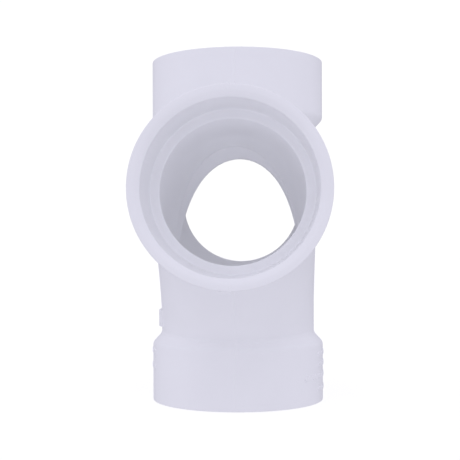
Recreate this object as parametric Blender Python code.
"""Double sanitary tee for 3-inch drain pipe.

A vertical run carries two swept branches at the same height, one on each side.
All four outlets are sockets for a solvent-welded pipe.

Frame: metres, +Z up along the run, origin at the centre of the bottom hub's face.
The front branch points to -Y and the rear branch to +Y.

The two hubs on the run are turned rings. The other portions are cut from solids that
cross each other: the barrel, the swept necks and the branch hubs, less the passages
inside them. Portions meet face to face with the same small gap.
"""
from math import asin, cos, pi, radians, sin, tau

import bmesh
import bpy
from mathutils import Matrix, Vector

# Sockets, one on each outlet
SOCKET_DEPTH = 0.0381
SOCKET_MOUTH_RADIUS = 0.04464
SOCKET_FLOOR_RADIUS = 0.04439
MOUTH_BEVEL_WIDTH = 0.0026
MOUTH_BEVEL_DEPTH = 0.0018

# Hubs around the sockets
HUB_RADIUS = 0.0512
HUB_STRAIGHT_LENGTH = 0.0344
HUB_LENGTH = 0.0402
HUB_CORNER = 0.0018
RIM_EDGE = 0.0010

# Pipe walls between the hubs
BORE_RADIUS = 0.03896
BARREL_RADIUS = 0.04585
BRANCH_BORE_RADIUS = 0.0387
BRANCH_OUTER_RADIUS = 0.0456

# Laying lengths
BRANCH_HEIGHT = 0.1208
TOTAL_HEIGHT = 0.2025
BRANCH_REACH = 0.1105

# Sweep of each branch: its centreline is one arc, falling from the socket floor
SWEEP_RADIUS = 0.1261
SWEEP_CENTRE_REACH = 0.1186
SWEEP_START_INSIDE_HUB = 0.27
SWEEP_END = 1.22
SWEEP_STATIONS = 12
TILT_QUICKNESS = 3.0

# Raised marking pad on the barrel's left side
PAD_HEIGHT = 0.0100
PAD_WIDTH = 0.0220
PAD_PROUD = 0.0018
PAD_CENTRE_HEIGHT = 0.0490
PAD_STEPS = 5

# Division into portions
PORTION_GAP = 0.0003
NECK_SPLIT_REACH = 0.0520
HUB_SPLIT_REACH = 0.0675
CLEARANCE = 0.0080

SEGMENTS = 64
SMOOTH_ANGLE = radians(28)

PVC_WHITE = (0.70, 0.69, 0.78)
PVC_ROUGHNESS = 0.42

HALF_GAP = PORTION_GAP / 2
SIDE_REACH = HUB_RADIUS + CLEARANCE
SOCKET_FLOOR_REACH = BRANCH_REACH - SOCKET_DEPTH
SWEEP_START = asin((SWEEP_CENTRE_REACH - SOCKET_FLOOR_REACH) / SWEEP_RADIUS)
SWEEP_CENTRE_HEIGHT = BRANCH_HEIGHT - SWEEP_RADIUS * cos(SWEEP_START)
SIDES = {"front": -1.0, "rear": 1.0}


def clear_scene():
    for item in list(bpy.data.objects):
        bpy.data.objects.remove(item)


def add_object(name, form):
    """Turn a finished bmesh into a named object with its faces pointing out."""
    bmesh.ops.recalc_face_normals(form, faces=form.faces)
    mesh = bpy.data.meshes.new(name)
    form.to_mesh(mesh)
    form.free()
    item = bpy.data.objects.new(name, mesh)
    bpy.context.scene.collection.objects.link(item)
    return item


def add_guide(name, form):
    item = add_object(name, form)
    item.hide_render = True
    item.display_type = "WIRE"
    return item


def skin_rings(form, rings):
    """Skin neighbouring rings with quads."""
    for lower, upper in zip(rings, rings[1:]):
        count = len(lower)
        for step in range(count):
            after = (step + 1) % count
            form.faces.new((lower[step], lower[after], upper[after], upper[step]))


def turned_rings(form, profile, placement):
    """One ring of points for each (radius, height) of the profile, around placement's Z."""
    rings = []
    for radius, height in profile:
        angles = [tau * step / SEGMENTS for step in range(SEGMENTS)]
        points = [Vector((radius * cos(angle), radius * sin(angle), height)) for angle in angles]
        rings.append([form.verts.new(placement @ point) for point in points])
    return rings


def turned_solid(name, profile, placement):
    """Closed solid of revolution with flat ends."""
    form = bmesh.new()
    rings = turned_rings(form, profile, placement)
    skin_rings(form, rings)
    form.faces.new(rings[0])
    form.faces.new(rings[-1])
    return add_guide(name, form)


def swept_solid(name, radius, side, stations):
    """Sweep a circle along the branch arc; a station is (arc angle, ring tilt, shift outward)."""
    form = bmesh.new()
    rings = []
    for angle, tilt, shift in stations:
        reach = SWEEP_CENTRE_REACH - SWEEP_RADIUS * sin(angle) + shift
        height = SWEEP_CENTRE_HEIGHT + SWEEP_RADIUS * cos(angle)
        ring = []
        for step in range(SEGMENTS):
            turn = tau * (step + 0.5) / SEGMENTS
            up = radius * sin(turn)
            outward = reach - up * sin(tilt)
            point = (radius * cos(turn), side * outward, height + up * cos(tilt))
            ring.append(form.verts.new(point))
        rings.append(ring)
    skin_rings(form, rings)
    form.faces.new(rings[0])
    form.faces.new(rings[-1])
    return add_guide(name, form)


def neck_solid(outlet):
    """Outer form of a neck, from inside its hub down into the barrel."""
    span = SWEEP_END - SWEEP_START_INSIDE_HUB
    angles = [SWEEP_START_INSIDE_HUB + span * k / SWEEP_STATIONS for k in range(SWEEP_STATIONS + 1)]
    stations = [(angle, angle, 0.0) for angle in angles]
    return swept_solid(outlet + "_neck_form", BRANCH_OUTER_RADIUS, SIDES[outlet], stations)


def passage_solid(outlet):
    """Inside of a neck: it leaves the socket floor flat, and turns square to the arc."""
    span = SWEEP_END - SWEEP_START
    stations = [(SWEEP_START, 0.0, PORTION_GAP)]
    for k in range(SWEEP_STATIONS + 1):
        share = k / SWEEP_STATIONS
        angle = SWEEP_START + span * share
        stations.append((angle, angle * min(1.0, TILT_QUICKNESS * share), 0.0))
    return swept_solid(outlet + "_passage_form", BRANCH_BORE_RADIUS, SIDES[outlet], stations)


def hub_outline(length):
    """Outer outline of a hub from its open face, which is at height 0."""
    return [
        (HUB_RADIUS - RIM_EDGE, 0.0),
        (HUB_RADIUS, RIM_EDGE),
        (HUB_RADIUS, HUB_STRAIGHT_LENGTH - HUB_CORNER),
        (HUB_RADIUS - HUB_CORNER / 3, HUB_STRAIGHT_LENGTH),
        (BARREL_RADIUS, length),
    ]


def socket_outline():
    """Inside outline of a socket from its mouth to its floor."""
    slope = (SOCKET_MOUTH_RADIUS - SOCKET_FLOOR_RADIUS) / SOCKET_DEPTH
    return [
        (SOCKET_MOUTH_RADIUS + MOUTH_BEVEL_WIDTH, 0.0),
        (SOCKET_MOUTH_RADIUS - slope * MOUTH_BEVEL_DEPTH, MOUTH_BEVEL_DEPTH),
        (SOCKET_FLOOR_RADIUS, SOCKET_DEPTH),
    ]


def run_placement(outlet):
    """Frame of an outlet on the run: origin on its face, Z pointing into the fitting."""
    if outlet == "bottom":
        return Matrix.Identity(4)
    return Matrix.Translation((0.0, 0.0, TOTAL_HEIGHT)) @ Matrix.Rotation(pi, 4, "X")


def branch_placement(outlet):
    side = SIDES[outlet]
    face_centre = Matrix.Translation((0.0, side * BRANCH_REACH, BRANCH_HEIGHT))
    return face_centre @ Matrix.Rotation(side * pi / 2, 4, "X")


def add_run_hub(outlet):
    """Turned ring: hub outside, socket, and the floor that stops the pipe."""
    end = HUB_LENGTH - HALF_GAP
    inside = socket_outline() + [(BORE_RADIUS, SOCKET_DEPTH), (BORE_RADIUS, end)]
    form = bmesh.new()
    rings = turned_rings(form, hub_outline(end) + inside[::-1], run_placement(outlet))
    skin_rings(form, rings + rings[:1])
    return add_object(outlet + "_hub", form)


def branch_hub_solid(outlet):
    outline = hub_outline(HUB_LENGTH)
    return turned_solid(outlet + "_hub_form", outline, branch_placement(outlet))


def branch_socket_solid(outlet):
    beyond = [(SOCKET_MOUTH_RADIUS + MOUTH_BEVEL_WIDTH, -CLEARANCE)]
    outline = beyond + socket_outline()
    return turned_solid(outlet + "_socket_form", outline, branch_placement(outlet))


def barrel_solid():
    outline = [(BARREL_RADIUS, -CLEARANCE), (BARREL_RADIUS, TOTAL_HEIGHT + CLEARANCE)]
    return turned_solid("barrel_form", outline, Matrix.Identity(4))


def bore_solid():
    beyond = 2 * CLEARANCE
    outline = [(BORE_RADIUS, -beyond), (BORE_RADIUS, TOTAL_HEIGHT + beyond)]
    return turned_solid("bore_form", outline, Matrix.Identity(4))


def pad_solid():
    """Shallow curved pad for a raised marking, standing proud of the barrel."""
    half_angle = PAD_WIDTH / BARREL_RADIUS / 2
    low = PAD_CENTRE_HEIGHT - PAD_HEIGHT / 2
    high = PAD_CENTRE_HEIGHT + PAD_HEIGHT / 2
    form = bmesh.new()
    rings = []
    for k in range(PAD_STEPS + 1):
        angle = pi - half_angle + 2 * half_angle * k / PAD_STEPS
        ring = []
        for radius, height in (
            (BARREL_RADIUS - PAD_PROUD, low),
            (BARREL_RADIUS + PAD_PROUD, low),
            (BARREL_RADIUS + PAD_PROUD, high),
            (BARREL_RADIUS - PAD_PROUD, high),
        ):
            ring.append(form.verts.new((radius * cos(angle), radius * sin(angle), height)))
        rings.append(ring)
    skin_rings(form, rings)
    form.faces.new(rings[0])
    form.faces.new(rings[-1])
    return add_guide("marking_pad_form", form)


def group_forms(name, forms):
    """Put guide forms in one collection, so that a Boolean takes them all at once."""
    group = bpy.data.collections.new(name)
    bpy.context.scene.collection.children.link(group)
    for form in forms:
        group.objects.link(form)
    return group


def add_boolean(item, operation, group):
    """Unite an item with every form of a group, keep what it shares with all, or cut them off."""
    change = item.modifiers.new(operation.lower() + "_" + group.name, "BOOLEAN")
    change.operation = operation
    change.solver = "EXACT"
    change.operand_type = "COLLECTION"
    change.collection = group


def united(name, base, others):
    """Group that holds one form: the base with the others joined to it."""
    add_boolean(base, "UNION", group_forms(name + "_additions", others))
    return group_forms(name, [base])


def junction_region():
    """Outline of (reach, height) points around the barrel, symmetrical front to rear."""
    reach = NECK_SPLIT_REACH - HALF_GAP
    low = HUB_LENGTH + HALF_GAP
    high = TOTAL_HEIGHT - HUB_LENGTH - HALF_GAP
    return [(reach, low), (reach, high), (-reach, high), (-reach, low)]


def sweep_region():
    near = NECK_SPLIT_REACH + HALF_GAP
    far = HUB_SPLIT_REACH - HALF_GAP
    low = HUB_LENGTH
    high = BRANCH_HEIGHT + SIDE_REACH
    return [(near, low), (far, low), (far, high), (near, high)]


def branch_hub_region():
    near = HUB_SPLIT_REACH + HALF_GAP
    far = BRANCH_REACH + CLEARANCE
    low = BRANCH_HEIGHT - SIDE_REACH
    high = BRANCH_HEIGHT + SIDE_REACH
    return [(near, low), (far, low), (far, high), (near, high)]


def cut_portion(name, outline, side, solid, hollows):
    """Prism across the region's outline, cut down to the solid's wall around the hollows."""
    form = bmesh.new()
    ends = []
    for across in (-SIDE_REACH, SIDE_REACH):
        ends.append([form.verts.new((across, side * reach, height)) for reach, height in outline])
    skin_rings(form, ends)
    form.faces.new(ends[0])
    form.faces.new(ends[1])
    portion = add_object(name, form)
    add_boolean(portion, "INTERSECT", solid)
    add_boolean(portion, "DIFFERENCE", hollows)
    return portion


def pvc_material(portion_name):
    material = bpy.data.materials.new(portion_name + "_pvc")
    material.use_nodes = True
    shader = material.node_tree.nodes["Principled BSDF"]
    shader.inputs["Base Color"].default_value = (*PVC_WHITE, 1.0)
    shader.inputs["Roughness"].default_value = PVC_ROUGHNESS
    shader.inputs["Metallic"].default_value = 0.0
    return material


def settle(portion):
    """Keep the cut shape as the portion's own mesh, round faces smooth and edges crisp."""
    graph = bpy.context.evaluated_depsgraph_get()
    mesh = bpy.data.meshes.new_from_object(portion.evaluated_get(graph))
    portion.modifiers.clear()
    portion.data = mesh
    mesh.name = portion.name
    mesh.shade_smooth()
    mesh.set_sharp_from_angle(angle=SMOOTH_ANGLE)
    mesh.materials.clear()
    mesh.materials.append(pvc_material(portion.name))


clear_scene()
necks = {outlet: neck_solid(outlet) for outlet in SIDES}
passages = {outlet: passage_solid(outlet) for outlet in SIDES}

junction_solid = united("junction_solid", barrel_solid(), [pad_solid(), *necks.values()])
junction_hollows = group_forms("junction_hollows", [bore_solid(), *passages.values()])
portions = [
    add_run_hub("top"),
    add_run_hub("bottom"),
    cut_portion("run_junction", junction_region(), 1.0, junction_solid, junction_hollows),
]
for outlet, side in SIDES.items():
    neck = group_forms(outlet + "_neck", [necks[outlet]])
    passage = group_forms(outlet + "_passage", [passages[outlet]])
    sweep = outlet + "_branch_sweep"
    portions.append(cut_portion(sweep, sweep_region(), side, neck, passage))
    hub_solid = united(outlet + "_hub_solid", branch_hub_solid(outlet), [necks[outlet]])
    hub_hollows = group_forms(outlet + "_hollows", [passages[outlet], branch_socket_solid(outlet)])
    hub = outlet + "_branch_hub"
    portions.append(cut_portion(hub, branch_hub_region(), side, hub_solid, hub_hollows))

for portion in portions:
    settle(portion)
